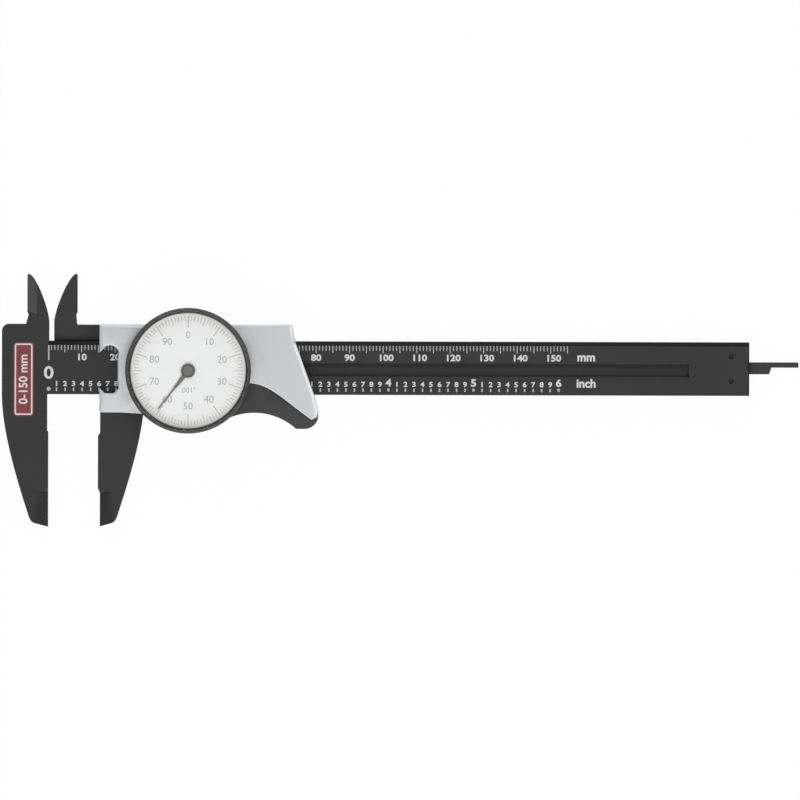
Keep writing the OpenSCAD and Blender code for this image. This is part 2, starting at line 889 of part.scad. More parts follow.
module case_screws() {
    color(steel)
    at_slider()
    for (x = screw_xs)
    for (y = [screw_lo, screw_hi])
        translate([x, y, 0])
        difference() {
            union() {
                rod_z(screw_d / 2, screw_sink, z_cover - screw_sink);
                translate([0, 0, screw_sink])
                    cylinder(r1 = screw_d - screw_sink, r2 = screw_d / 2, h = screw_d / 2 - screw_sink);
            }
            slab(-screw_d, screw_d, -slot_w / 2, slot_w / 2, 0, screw_sink + slot_d);
        }
}

module gib_spring() {
    rise = gib_pocket + run_gap - gib_t - 2 * gib_play;
    half = (gib_x1 - gib_x0) / 2;
    bow = (half * half + rise * rise) / 2 / rise;
    color(steel)
    at_slider()
    intersection() {
        translate([(gib_x0 + gib_x1) / 2, half_w + gib_play + bow + gib_t, 0])
        difference() {
            rod_z(bow + gib_t, gib_z0, gib_z1, $fn = 360);
            rod_z(bow, gib_z0 - over, gib_z1 + over, $fn = 360);
        }
        slab(gib_x0, gib_x1, half_w, rail_lo + gib_pocket, gib_z0 - over, gib_z1 + over);
    }
}

module depth_rod() {
    end = rod_x1 + rod_tip_len;
    color(dark)
    at_slider()
    difference() {
        translate([0, 0, z_rod]) linear_extrude(rod_t) polygon([
            [rod_x0, rod_lo],
            [rod_x1 - rod_slant / 2, rod_lo],
            [rod_x1 + rod_slant / 2, rod_hi - rod_tip_w],
            [end, rod_hi - rod_tip_w],
            [end, rod_hi],
            [rod_x0, rod_hi]
        ]);
        translate([rod_pin_x, rod_pin_y, 0]) rod_z(rod_pin_r + fit, -over, z_front);
    }
}

module depth_rod_pin() {
    color(steel)
    at_slider()
    translate([rod_pin_x, rod_pin_y, 0]) rod_z(rod_pin_r, screw_sink, z_rod + rod_t);
}

module movement_bridge() {
    color(brass)
    at_slider()
    difference() {
        translate([0, 0, z_bridge]) linear_extrude(bridge_t) {
            translate([bridge_post[0], dial_y - bridge_post[1]]) circle(bridge_w / 2);
            translate([bridge_post[0], dial_y + bridge_post[1]]) circle(bridge_w / 2);
            translate([bridge_post[0] - bridge_w / 2, dial_y - bridge_post[1]])
                square([bridge_w, 2 * bridge_post[1]]);
            translate([dial_x, dial_y]) circle(bridge_eye_r);
            translate([pinion_x, pinion_y]) circle(bridge_eye_r);
            translate([dial_x, dial_y - bridge_w / 2]) square([pinion_x - dial_x, bridge_w]);
        }
        for (side = [-1, 1])
            translate([bridge_post[0], dial_y + side * bridge_post[1], 0])
                rod_z(bridge_screw_r + fit, z_bridge - over, z_bridge + bridge_t + over);
        for (at = [[dial_x, dial_y, 0], [pinion_x, pinion_y, 0]])
            translate(at) rod_z(bridge_bush_r + fit, z_bridge - over, z_bridge + bridge_t + over);
    }
}

module bridge_screws() {
    z = z_bridge + bridge_t;
    color(steel)
    at_slider()
    for (side = [-1, 1])
        translate([bridge_post[0], dial_y + side * bridge_post[1], 0])
        difference() {
            union() {
                rod_z(bridge_screw_r, z_floor + 0.5, z);
                rod_z(bridge_head_r, z, z + bridge_head_h);
            }
            slab(-post_r, post_r, -slot_w / 2, slot_w / 2, z + bridge_head_h - slot_d, z + over);
        }
}

module pinion_bush() {
    color(brass)
    at_pinion()
    difference() {
        rod_z(pinion_bush_r, z_floor, z_deck);
        rod_z(pinion_shaft_r + fit, z_floor - over, z_deck + over);
    }
}

module centre_bush() {
    color(brass)
    at_dial()
    difference() {
        rod_z(centre_bush_r, z_floor, z_deck);
        rod_z(centre_shaft_r + fit, z_floor + 0.2, z_deck + over);
    }
}

module bridge_bushes() {
    color(brass) {
        at_dial() difference() {
            rod_z(bridge_bush_r, z_bridge, z_bridge + bridge_t);
            rod_z(centre_shaft_r + fit, z_bridge - over, z_bridge + bridge_t + over);
        }
        at_pinion() difference() {
            rod_z(bridge_bush_r, z_bridge, z_bridge + bridge_t);
            rod_z(pivot_r + fit, z_bridge - over, z_bridge + bridge_t + over);
        }
    }
}

module bezel_spring() {
    color(steel)
    at_dial()
    translate([0, 0, wire_z])
    rotate([0, 0, 15])
    rotate_extrude(angle = 330)
    translate([wire_at, 0]) circle(wire_r, $fn = 24);
}

module pinion_arbor() {
    color(steel)
    at_pinion() {
        translate([0, 0, z_pinion]) rotate([0, 0, pinion_turn])
            gear(pinion_teeth, pinion_h);
        rod_z(pinion_shaft_r, z_pinion + pinion_h - 0.2, z_wheel);
        rod_z(shoulder_r, z_deck + 0.1, z_wheel);
        rod_z(pivot_r, z_wheel - 0.2, z_bridge + bridge_t);
    }
}

module drive_gear() {
    color(brass)
    at_pinion()
    difference() {
        translate([0, 0, z_wheel]) rotate([0, 0, pinion_turn])
            gear(wheel_teeth, wheel_h);
        rod_z(pivot_r + fit / 2, z_wheel - over, z_wheel + over);
    }
}

module takeup_gear() {
    color(brass)
    at_pinion()
    difference() {
        translate([0, 0, z_takeup]) rotate([0, 0, pinion_turn])
            gear(wheel_teeth, takeup_h);
        rod_z(pivot_r + fit / 2, z_takeup - over, z_takeup + over);
    }
}

module takeup_spring() {
    z = z_takeup + takeup_h + spring_wire_r + fit;
    color(steel)
    at_pinion()
    translate([0, 0, z])
    rotate_extrude(angle = 300)
    translate([takeup_r, 0]) circle(spring_wire_r, $fn = 16);
}

module centre_arbor() {
    color(steel)
    at_dial() {
        rod_z(centre_shaft_r, z_floor + 0.3, z_hub + hub_t - 2.5 * fit);
        translate([0, 0, z_deck + 0.3]) rotate([0, 0, centre_turn])
            gear(centre_teeth, z_takeup + takeup_h - z_deck - 0.1);
    }
}

module pointer() {
    color(dark)
    at_dial()
    rotate([0, 0, -pointer_angle])
    translate([0, 0, z_pointer])
    difference() {
        union() {
            linear_extrude(pointer_t) polygon([
                [-pointer_root_w / 2, 1],
                [-pointer_tip_w / 2, pointer_r],
                [pointer_tip_w / 2, pointer_r],
                [pointer_root_w / 2, 1]
            ]);
            rod_z(pointer_eye_r, 0, pointer_t);
        }
        rod_z(centre_shaft_r + fit / 2, -over, over);
    }
}

module pointer_hub() {
    color(dark)
    at_dial()
    difference() {
        rod_z(hub_r, z_hub, z_hub + hub_t);
        rod_z(centre_shaft_r + fit / 2, z_print, z_hub + hub_t - fit);
    }
}

module bezel() {
    color(black)
    at_dial()
    difference() {
        rotate_extrude()
        polygon([
            [bore_r, z_bezel],
            [bezel_r - 0.3, z_bezel],
            [bezel_r, z_bezel + 0.3],
            [bezel_r, z_rim - 0.1],
            [bezel_r - 0.5, z_rim + bezel_rim],
            [glass_r, z_rim + bezel_rim],
            [glass_r, z_crystal],
            [dial_view_r, z_crystal],
            [dial_view_r, z_print],
            [bore_r, z_print]
        ]);
        translate([0, 0, wire_z])
            rotate_extrude() translate([wire_at, 0]) circle(wire_r + 2.5 * fit, $fn = 24);
    }
}

module dial_face() {
    color(white)
    at_dial()
    difference() {
        rod_z(bore_r - fit, z_dial, z_print);
        rod_z(centre_shaft_r + 0.5, z_dial - over, z_print + over);
    }
}

module crystal() {
    color(clear)
    at_dial() rod_z(glass_r - fit, z_crystal, z_rim);
}

beam();
gear_rack();
end_stop();
end_stop_pins();
slider_body();
back_plate();
case_screws();
slider_cover();
gib_spring();
depth_rod();
depth_rod_pin();
movement_bridge();
bridge_screws();
pinion_bush();
centre_bush();
bridge_bushes();
bezel_spring();
pinion_arbor();
drive_gear();
takeup_gear();
takeup_spring();
centre_arbor();
pointer();
pointer_hub();
bezel();
dial_face();
crystal();
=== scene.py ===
"""Dial caliper with a moulded black beam, a silver slider cover and a geared dial.

X runs along the beam from the zero line, Y crosses it to the inside jaws, and Z rises to the dial.
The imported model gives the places; lengths written here are millimetres times MM.
"""
import math

import bmesh
import bpy
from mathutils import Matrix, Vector


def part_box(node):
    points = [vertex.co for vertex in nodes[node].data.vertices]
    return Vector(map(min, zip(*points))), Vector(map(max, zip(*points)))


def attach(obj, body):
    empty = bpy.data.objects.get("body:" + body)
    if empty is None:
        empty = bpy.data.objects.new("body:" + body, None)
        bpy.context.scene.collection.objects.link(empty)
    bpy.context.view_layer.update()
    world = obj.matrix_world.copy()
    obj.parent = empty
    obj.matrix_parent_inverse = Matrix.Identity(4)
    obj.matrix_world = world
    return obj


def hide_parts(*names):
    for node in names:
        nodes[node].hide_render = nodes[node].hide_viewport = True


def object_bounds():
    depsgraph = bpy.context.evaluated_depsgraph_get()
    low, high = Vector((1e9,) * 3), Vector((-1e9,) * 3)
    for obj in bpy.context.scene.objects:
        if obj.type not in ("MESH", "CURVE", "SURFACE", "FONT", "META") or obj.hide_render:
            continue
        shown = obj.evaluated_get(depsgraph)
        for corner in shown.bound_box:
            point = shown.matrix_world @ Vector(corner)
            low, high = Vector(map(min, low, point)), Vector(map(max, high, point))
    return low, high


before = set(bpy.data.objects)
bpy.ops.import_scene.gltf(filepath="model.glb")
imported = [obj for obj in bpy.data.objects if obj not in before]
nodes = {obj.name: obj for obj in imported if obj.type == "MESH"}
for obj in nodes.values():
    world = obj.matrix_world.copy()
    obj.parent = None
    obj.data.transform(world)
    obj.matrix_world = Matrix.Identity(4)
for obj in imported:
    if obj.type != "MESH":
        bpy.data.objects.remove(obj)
cad_low, cad_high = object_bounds()

MM = 0.001
INCH = 25.4 * MM

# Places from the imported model
BEAM_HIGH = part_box("beam")[1]
BEAM_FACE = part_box("beam")[1].z
PIN_AT = (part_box("end_stop_pins")[0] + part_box("end_stop_pins")[1]) / 2
COVER_LOW, COVER_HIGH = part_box("slider_cover")
BEZEL_R = (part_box("bezel")[1].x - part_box("bezel")[0].x) / 2
CAP_R = (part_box("pointer_hub")[1].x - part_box("pointer_hub")[0].x) / 2
DIAL_LOW, DIAL_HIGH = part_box("dial_face")
DIAL_AT = (DIAL_LOW + DIAL_HIGH) / 2
DIAL_FACE = DIAL_HIGH.z

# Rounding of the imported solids
NEAR = 0.05 * MM
WELD = 0.0005 * MM
FLAT = math.radians(0.3)
SMOOTH = math.radians(25.0)
SHARP = math.radians(35.0)
SQUARE = math.radians(60.0)
ROUND_CUTS = 4

# Beam: end bevel, room round the pins, sharp tips of the inside jaws, dark painted shade on its bevels and painted
# highlight on the knife
BEAM_SOFT = 0.2 * MM
END_EASE = 0.6 * MM
PIN_ROOM = 1.5 * MM
TIP_SHARP = 2 * MM
BAND_Y = 7.3 * MM
KNIFE_Y = 14.5 * MM
KNIFE_HIGHLIGHT = 0.8

# Slider: face and edge of the cover with the painted highlight on its rims, front edge of its notch, front of the
# thumb hook with its painted sheen
COVER_SOFT = 0.18 * MM
COVER_FACE = 10.8 * MM
COVER_EDGE = 1.2 * MM
RIM_HIGHLIGHT = 0.5
NOTCH_EASE = 0.55 * MM
NOTCH_FROM = 0.95 * MM
NOTCH_TO = 6.5 * MM
SLIDER_SOFT = 0.16 * MM
HIDDEN_RIGHT = 2 * MM
HIDDEN_LOW = 4 * MM
HOOK_Z = 8.5 * MM
HOOK_SHEEN = 0.36

# Hand of the dial
HAND_SOFT = 0.05 * MM
NEEDLE_FROM = 5.0 * MM
NEEDLE_MIDDLE = 0.46 * MM
NEEDLE_TIP = 0.36 * MM
CAP_SOFT = 0.12 * MM
CAP_INNER_R = 1.4 * MM
CAP_SHADE = 0.5

# Printing ink, and how far heavier figures swell as a share of their size
INK_SINK = 0.006 * MM
INK_RISE = 0.02 * MM
BOLD = 0.03
HALF_BOLD = 0.02

# Millimetre scale
MM_TOP = 6.65 * MM
MM_SHORT = 1.45 * MM
MM_LONG = 2.15 * MM
MM_LINE = 0.26 * MM
MM_LAST = 150
MM_DIGIT = 2.65 * MM
MM_DIGIT_Y = 3.0 * MM
DIGIT_WIDE = 1.16
HUNDREDS_SHIFT = 0.8 * MM
ZERO_X = 0.2 * MM
ZERO_LINE = 1.6 * MM_LINE
ZERO_LINE_LOW = 2.15 * MM
ZERO_DIGIT = 5.2 * MM
ZERO_DIGIT_Y = -1.73 * MM
ZERO_DOT_R = 0.6 * MM
ZERO_DOT_Y = -6.4 * MM

# Inch scale
TENTH_LOW = -7.05 * MM
TENTH_TOP = -6.05 * MM
TENTH_LINE = 0.45 * MM
TENTH_DIGIT = 2.05 * MM
TENTH_DIGIT_Y = -4.9 * MM
INCH_LAST = 6
INCH_LINE = 0.95 * MM
INCH_FOOT = 0.4 * MM
INCH_DIGIT = 3.0 * MM
INCH_DIGIT_Y = -4.45 * MM
WORD_X = 160.6 * MM
WORD_SIZE = 3.55 * MM
MM_WORD_Y = 3.35 * MM
INCH_WORD_Y = -4.5 * MM

# Label on the head
LABEL_AT = Vector((-7.3 * MM, -3.55 * MM, 0))
LABEL_W = 6.0 * MM
LABEL_H = 22.0 * MM
LABEL_CORNER = 0.9 * MM
LABEL_MARGIN = 0.7 * MM
LABEL_BORDER = 0.42 * MM
LABEL_BORDER_CORNER = 0.7 * LABEL_CORNER
LABEL_TEXT = 3.6 * MM

# Dial print
TICK_OUT = 16.4 * MM
TICK_ONE = 1.5 * MM
TICK_FIVE = 2.4 * MM
TICK_TEN = 3.5 * MM
TICK_LINE = 0.17 * MM
TICK_TEN_LINE = 0.24 * MM
DIAL_DIGIT_R = 10.6 * MM
DIAL_DIGIT = 3.0 * MM
DIAL_NOTE = ".001\""
DIAL_NOTE_SIZE = 2.2 * MM
DIAL_NOTE_Y = -5.9 * MM

# Camera over the middle of the photographed view
VIEW_AT = Vector((105.06 * MM, -9.47 * MM, 6.5 * MM))
VIEW_W = 238.76 * MM
VIEW_HEIGHT = 4.5
VIEW_ROLL = math.radians(0.15)
SENSOR_W = 36.0

# Floor and light; each lamp has its place along and across from the middle of the view, height, size and power
FLOOR_SIZE = 8.0
FLOOR_DROP = 0.02 * MM
FLOOR_SHOWN = 0.97
ROOM_LIGHT = 0.36
LAMPS = (
    ("front_softbox", -0.22, -0.69, 1.2, 1.1, 10.6),
    ("right_softbox", 0.6, 0.2, 1.2, 0.6, 3.2),
    ("back_softbox", -0.3, 1.1, 0.75, 0.9, 3.2),
)


# Small modelling steps

def let_go():
    if bpy.context.mode != "OBJECT":
        bpy.ops.object.mode_set(mode="OBJECT")
    bpy.ops.object.select_all(action="DESELECT")


def pick(*objs):
    let_go()
    for obj in objs:
        obj.select_set(True)
    bpy.context.view_layer.objects.active = objs[0]


def settle(obj, name):
    """Puts the place, turn and scale of obj into its mesh and names it."""
    pick(obj)
    bpy.ops.object.transform_apply(location=True, rotation=True, scale=True)
    obj.name = name
    obj.data.name = name
    return obj


def apply_all(obj):
    pick(obj)
    for modifier in list(obj.modifiers):
        bpy.ops.object.modifier_apply(modifier=modifier.name)


def merged(objs, name):
    pick(*objs)
    if len(objs) > 1:
        bpy.ops.object.join()
    obj = bpy.context.view_layer.objects.active
    obj.name = name
    obj.data.name = name
    return obj


def row(obj, step, count):
    """Repeats obj count times, each copy moved by step."""
    pick(obj)
    array = obj.modifiers.new("row", "ARRAY")
    array.use_relative_offset = False
    array.use_constant_offset = True
    array.constant_offset_displace = step
    array.count = count
    bpy.ops.object.modifier_apply(modifier=array.name)
    return obj


def dress(obj, material, body):
    obj.data.materials.clear()
    obj.data.materials.append(material)
    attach(obj, body)
    return obj


# Shader building

def socket_value(node, name, value):
    node.inputs[name].default_value = value


def new_group(name, inputs, outputs):
    """A shader node group with named float or colour sockets."""
    group = bpy.data.node_groups.new(name, "ShaderNodeTree")
    for label, kind, value in inputs:
        socket = group.interface.new_socket(name=label, in_out="INPUT", socket_type=kind)
        socket.default_value = value
    for label, kind in outputs:
        group.interface.new_socket(name=label, in_out="OUTPUT", socket_type=kind)
    inlet = group.nodes.new("NodeGroupInput")
    outlet = group.nodes.new("NodeGroupOutput")
    return group, inlet, outlet


def noise(tree, vector, scale, detail, roughness=0.5):
    node = tree.nodes.new("ShaderNodeTexNoise")
    socket_value(node, "Detail", detail)
    socket_value(node, "Roughness", roughness)
    if hasattr(scale, "links"):
        tree.links.new(scale, node.inputs["Scale"])
    else:
        socket_value(node, "Scale", scale)
    tree.links.new(vector, node.inputs["Vector"])
    return node.outputs["Fac"]


def stretch(tree, value, low, high, to_low=0.0, to_high=1.0):
    node = tree.nodes.new("ShaderNodeMapRange")
    tree.links.new(value, node.inputs["Value"])
    socket_value(node, "From Min", low)
    socket_value(node, "From Max", high)
    socket_value(node, "To Min", to_low)
    socket_value(node, "To Max", to_high)
    return node.outputs["Result"]


def maths(tree, operation, a, b):
    node = tree.nodes.new("ShaderNodeMath")
    node.operation = operation
    node.use_clamp = True
    for index, value in enumerate((a, b)):
        if hasattr(value, "links"):
            tree.links.new(value, node.inputs[index])
        else:
            node.inputs[index].default_value = value
    return node.outputs["Value"]


def moulding_grain_group():
    """Fine spark-eroded grain of a moulded face, with the clouding of the filler under it."""
    group, inlet, outlet = new_group(
        "moulding_grain",
        [("Grain", "NodeSocketFloat", 2600.0), ("Cloud", "NodeSocketFloat", 90.0)],
        [("Tone", "NodeSocketFloat"), ("Height", "NodeSocketFloat")],
    )
    place = group.nodes.new("ShaderNodeTexCoord").outputs["Object"]
    fine = noise(group, place, inlet.outputs["Grain"], 3.0, 0.6)
    cloud = noise(group, place, inlet.outputs["Cloud"], 4.0, 0.55)
    tone = maths(group, "ADD", maths(group, "MULTIPLY", fine, 0.4), maths(group, "MULTIPLY", cloud, 0.6))
    group.links.new(stretch(group, tone, 0.3, 0.7), outlet.inputs["Tone"])
    group.links.new(fine, outlet.inputs["Height"])
    return group


def edge_rub_group():
    """Rubbed edges, broken up by noise, that also stand for painted highlight, and faces with an even painted
    highlight, both marked by the modelling.
    """
    group, inlet, outlet = new_group(
        "edge_wear_and_highlight",
        [("Breaks", "NodeSocketFloat", 420.0), ("Amount", "NodeSocketFloat", 0.6)],
        [("Mask", "NodeSocketFloat")],
    )
    strip = group.nodes.new("ShaderNodeAttribute")
    strip.attribute_name = "edge"
    place = group.nodes.new("ShaderNodeTexCoord").outputs["Object"]
    patches = stretch(group, noise(group, place, inlet.outputs["Breaks"], 3.0), 0.35, 0.75)
    mask = maths(group, "MULTIPLY", strip.outputs["Fac"], patches)
    mask = maths(group, "MULTIPLY", mask, inlet.outputs["Amount"])
    # The polish mark carries painted highlight.
    polish = group.nodes.new("ShaderNodeAttribute")
    polish.attribute_name = "polish"
    group.links.new(maths(group, "MAXIMUM", mask, polish.outputs["Fac"]), outlet.inputs["Mask"])
    return group


def handling_group():
    """Patches of finger polish that change the gloss slowly over a face."""
    group, inlet, outlet = new_group(
        "handling",
        [("Patches", "NodeSocketFloat", 45.0)],
        [("Polish", "NodeSocketFloat")],
    )
    place = group.nodes.new("ShaderNodeTexCoord").outputs["Object"]
    polish = noise(group, place, inlet.outputs["Patches"], 5.0, 0.62)
    group.links.new(stretch(group, polish, 0.3, 0.7), outlet.inputs["Polish"])
    return group


def drawn_lines_group():
    """Fine lines that run along X, as on drawn or ground metal."""
    group, inlet, outlet = new_group(
        "drawn_lines",
        [("Along", "NodeSocketFloat", 60.0), ("Across", "NodeSocketFloat", 9000.0)],
        [("Lines", "NodeSocketFloat")],
    )
    place = group.nodes.new("ShaderNodeTexCoord").outputs["Object"]
    apart = group.nodes.new("ShaderNodeSeparateXYZ")
    group.links.new(place, apart.inputs["Vector"])
    together = group.nodes.new("ShaderNodeCombineXYZ")
    for axis, scale in (("X", "Along"), ("Y", "Across"), ("Z", "Across")):
        times = group.nodes.new("ShaderNodeMath")
        times.operation = "MULTIPLY"
        group.links.new(apart.outputs[axis], times.inputs[0])
        group.links.new(inlet.outputs[scale], times.inputs[1])
        group.links.new(times.outputs["Value"], together.inputs[axis])
    lines = noise(group, together.outputs["Vector"], 1.0, 2.0)
    group.links.new(stretch(group, lines, 0.3, 0.7), outlet.inputs["Lines"])
    return group


GRAIN = moulding_grain_group()
EDGE_WEAR_AND_HIGHLIGHT = edge_rub_group()
HANDLING = handling_group()
DRAWN = drawn_lines_group()


class Finish:
    """A material under construction, with its tree and its Principled shader."""

    def __init__(self, name):
        self.material = bpy.data.materials.new(name)
        self.material.use_nodes = True
        self.tree = self.material.node_tree
        self.shader = self.tree.nodes["Principled BSDF"]

    def set(self, **values):
        for name, value in values.items():
            socket_value(self.shader, name.replace("_", " "), value)

    def group(self, tree, **values):
        node = self.tree.nodes.new("ShaderNodeGroup")
        node.node_tree = tree
        for name, value in values.items():
            socket_value(node, name, value)
        return node.outputs

    def mix(self, factor, a, b):
        """Colour from a to b by factor; a and b are colours or sockets."""
        node = self.tree.nodes.new("ShaderNodeMix")
        node.data_type = "RGBA"
        self.tree.links.new(factor, node.inputs["Factor"])
        for socket, value in ((node.inputs[6], a), (node.inputs[7], b)):
            if hasattr(value, "links"):
                self.tree.links.new(value, socket)
            else:
                socket.default_value = (*value, 1.0)
        return node.outputs[2]

    def colour(self, socket):
        self.tree.links.new(socket, self.shader.inputs["Base Color"])

    def roughness(self, value, smooth, rough):
        self.tree.links.new(stretch(self.tree, value, 0.0, 1.0, smooth, rough), self.shader.inputs["Roughness"])

    def bump(self, height, depth, strength):
        node = self.tree.nodes.new("ShaderNodeBump")
        socket_value(node, "Strength", strength)
        socket_value(node, "Distance", depth)
        self.tree.links.new(height, node.inputs["Height"])
        self.tree.links.new(node.outputs["Normal"], self.shader.inputs["Normal"])


def moulded(name, deep, pale, worn_and_lit, smooth, rough, grain=2600.0, sheen=0.25):
    """Filled black polymer: clouded tone, fine grain, rubbed edges that also stand for painted highlight, lighter
    painted highlights on marked faces and darker painted shade on marked strips.
    """
    finish = Finish(name)
    face = finish.group(GRAIN, Grain=grain)
    rub = finish.group(EDGE_WEAR_AND_HIGHLIGHT)
    # Lighter on worn edges and on the painted highlights.
    tone = finish.mix(rub["Mask"], finish.mix(face["Tone"], deep, pale), worn_and_lit)
    painted_shade = finish.tree.nodes.new("ShaderNodeAttribute")
    painted_shade.attribute_name = "painted_shade"
    # Painted shade: the marked strips go nearly black.
    finish.colour(finish.mix(painted_shade.outputs["Fac"], tone, (0.004, 0.004, 0.004)))
    finish.set(Specular_IOR_Level=sheen)
    finish.roughness(finish.group(HANDLING)["Polish"], smooth, rough)
    finish.bump(face["Height"], 0.012 * MM, 0.35)
    return finish.material


def silver_paint():
    """Satin silver of the cover: fine flake, soft clouding, painted shade on the slope and painted highlights on its
    edges and rims.
    """
    finish = Finish("silver_paint")
    flake = finish.group(GRAIN, Grain=5200.0, Cloud=60.0)
    rub = finish.group(EDGE_WEAR_AND_HIGHLIGHT, Amount=0.8)
    paint = finish.mix(flake["Tone"], (0.57, 0.577, 0.595), (0.62, 0.626, 0.643))
    # Painted shade: the slope towards the right edge is drawn darker.
    slope = finish.tree.nodes.new("ShaderNodeAttribute")
    slope.attribute_name = "painted_shade"
    paint = finish.mix(slope.outputs["Fac"], paint, (0.565, 0.572, 0.59))
    # Painted highlight: the edges and rims go pale.
    finish.colour(finish.mix(rub["Mask"], paint, (0.8, 0.805, 0.815)))
    finish.roughness(finish.group(HANDLING)["Polish"], 0.36, 0.46)
    finish.bump(flake["Height"], 0.006 * MM, 0.25)
    finish.set(Metallic=0.5)
    return finish.material


def ink(name, thin, full, rough):
    """Pad-printed ink: slightly uneven cover."""
    finish = Finish(name)
    face = finish.group(GRAIN, Grain=6000.0, Cloud=700.0)
    finish.colour(finish.mix(face["Tone"], thin, full))
    finish.roughness(face["Tone"], rough, rough + 0.12)
    finish.bump(face["Height"], 0.004 * MM, 0.3)
    return finish.material


def dial_enamel():
    """White enamel, a little warmer and darker towards the rim, where the shade of the bezel wall is painted."""
    finish = Finish("dial_enamel")
    face = finish.group(GRAIN, Grain=3600.0, Cloud=120.0)
    tree = finish.tree
    apart = tree.nodes.new("ShaderNodeVectorMath")
    apart.operation = "DISTANCE"
    tree.links.new(tree.nodes.new("ShaderNodeTexCoord").outputs["Object"], apart.inputs[0])
    apart.inputs[1].default_value = (DIAL_AT.x, DIAL_AT.y, DIAL_FACE)
    # Painted shade: the enamel goes darker and warmer near the bezel wall.
    rim = stretch(tree, apart.outputs["Value"], 13.0 * MM, 16.5 * MM)
    enamel = finish.mix(face["Tone"], (0.86, 0.86, 0.855), (0.9, 0.9, 0.895))
    finish.colour(finish.mix(rim, enamel, (0.86, 0.845, 0.815)))
    finish.roughness(finish.group(HANDLING)["Polish"], 0.45, 0.6)
    finish.bump(face["Height"], 0.003 * MM, 0.2)
    return finish.material


def metal(name, dull, bright, smooth, rough):
    finish = Finish(name)
    lines = finish.group(DRAWN)["Lines"]
    rub = finish.group(HANDLING, Patches=160.0)["Polish"]
    finish.colour(finish.mix(rub, dull, bright))
    finish.roughness(lines, smooth, rough)
    finish.bump(lines, 0.004 * MM, 0.25)
    finish.set(Metallic=1.0)
    return finish.material


def crystal_clear():
    """Clear acrylic, with light let through for the dial under it."""
    finish = Finish("crystal_clear")
    scuff = finish.group(HANDLING, Patches=120.0)["Polish"]
    finish.set(**{"Base_Color": (0.98, 0.985, 0.99, 1.0), "Transmission_Weight": 1.0, "IOR": 1.45})
    finish.roughness(scuff, 0.0, 0.02)
    tree = finish.tree
    rays = tree.nodes.new("ShaderNodeLightPath")
    passing = maths(tree, "MAXIMUM", rays.outputs["Is Shadow Ray"], rays.outputs["Is Diffuse Ray"])
    through = tree.nodes.new("ShaderNodeBsdfTransparent")
    both = tree.nodes.new("ShaderNodeMixShader")
    tree.links.new(passing, both.inputs["Fac"])
    tree.links.new(finish.shader.outputs["BSDF"], both.inputs[1])
    tree.links.new(through.outputs["BSDF"], both.inputs[2])
    tree.links.new(both.outputs["Shader"], tree.nodes["Material Output"].inputs["Surface"])
    return finish.material


BLACK = moulded("black_moulding", (0.022, 0.022, 0.0217), (0.031, 0.031, 0.0305), (0.075, 0.075, 0.073), 0.46, 0.6)
HOOK_BLACK = moulded(
    "slider_moulding", (0.024, 0.024, 0.0245), (0.033, 0.033, 0.033), (0.085, 0.085, 0.085), 0.44, 0.57)
BEZEL_BLACK = moulded(
    "bezel_satin", (0.032, 0.032, 0.031), (0.044, 0.044, 0.043), (0.12, 0.12, 0.118), 0.3, 0.42, 4200.0, 0.5)
ROD_BLACK = moulded("rod_blacking", (0.03, 0.03, 0.031), (0.042, 0.042, 0.043), (0.11, 0.11, 0.11), 0.34, 0.5, 5200.0)
# Blackened steel, painted darker still as the shade in the pin holes and along the rack groove.
RACK_BLACK_AND_SHADE = moulded(
    "rack_blacking_and_shade", (0.006, 0.006, 0.006), (0.012, 0.012, 0.012), (0.04, 0.04, 0.04), 0.4, 0.58, 5200.0)
HAND_GREY = moulded(
    "hand_lacquer", (0.135, 0.132, 0.126), (0.165, 0.161, 0.154), (0.26, 0.26, 0.25), 0.4, 0.55, 5200.0)
SILVER = silver_paint()
MARK_GREY = ink("mark_ink", (0.36, 0.37, 0.38), (0.5, 0.51, 0.52), 0.5)
FIGURE_WHITE = ink("figure_ink", (0.56, 0.57, 0.58), (0.7, 0.71, 0.72), 0.5)
LABEL_RED = ink("label_red_ink", (0.17, 0.022, 0.028), (0.215, 0.03, 0.036), 0.5)
LABEL_WHITE = ink("label_white_ink", (0.62, 0.58, 0.585), (0.74, 0.7, 0.705), 0.5)
DIAL_GREY = ink("dial_ink", (0.36, 0.36, 0.365), (0.46, 0.46, 0.465), 0.5)
DIAL_WHITE = dial_enamel()
STEEL = metal("ground_steel", (0.42, 0.43, 0.44), (0.58, 0.59, 0.6), 0.25, 0.42)
BRASS = metal("turned_brass", (0.55, 0.41, 0.18), (0.72, 0.56, 0.28), 0.22, 0.4)
CRYSTAL = crystal_clear()


# Moulded and turned pieces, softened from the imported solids

def copied(node, name):
    """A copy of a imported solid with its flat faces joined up."""
    pick(nodes[node])
    bpy.ops.object.duplicate(linked=False)
    obj = bpy.context.view_layer.objects.active
    obj.parent = None
    for key in list(obj.keys()):
        del obj[key]
    obj.name = name
    obj.data.name = name
    bpy.ops.object.mode_set(mode="EDIT")
    bpy.ops.mesh.select_all(action="SELECT")
    bpy.ops.mesh.remove_doubles(threshold=WELD)
    bpy.ops.mesh.dissolve_limited(angle_limit=FLAT)
    bpy.ops.object.mode_set(mode="OBJECT")
    return obj


def eased(obj, wanted, width, segments):
    """Cuts back the square edges whose two ends both pass the test."""
    pick(obj)
    bpy.ops.object.mode_set(mode="EDIT")
    bpy.ops.mesh.select_mode(type="EDGE")
    bpy.ops.mesh.select_all(action="DESELECT")
    mesh = bmesh.from_edit_mesh(obj.data)
    for edge in mesh.edges:
        square = edge.is_manifold and edge.calc_face_angle() > SQUARE
        edge.select = square and all(wanted(corner.co) for corner in edge.verts)
    bmesh.update_edit_mesh(obj.data)
    bpy.ops.mesh.bevel(offset=width, segments=segments)
    bpy.ops.object.mode_set(mode="OBJECT")


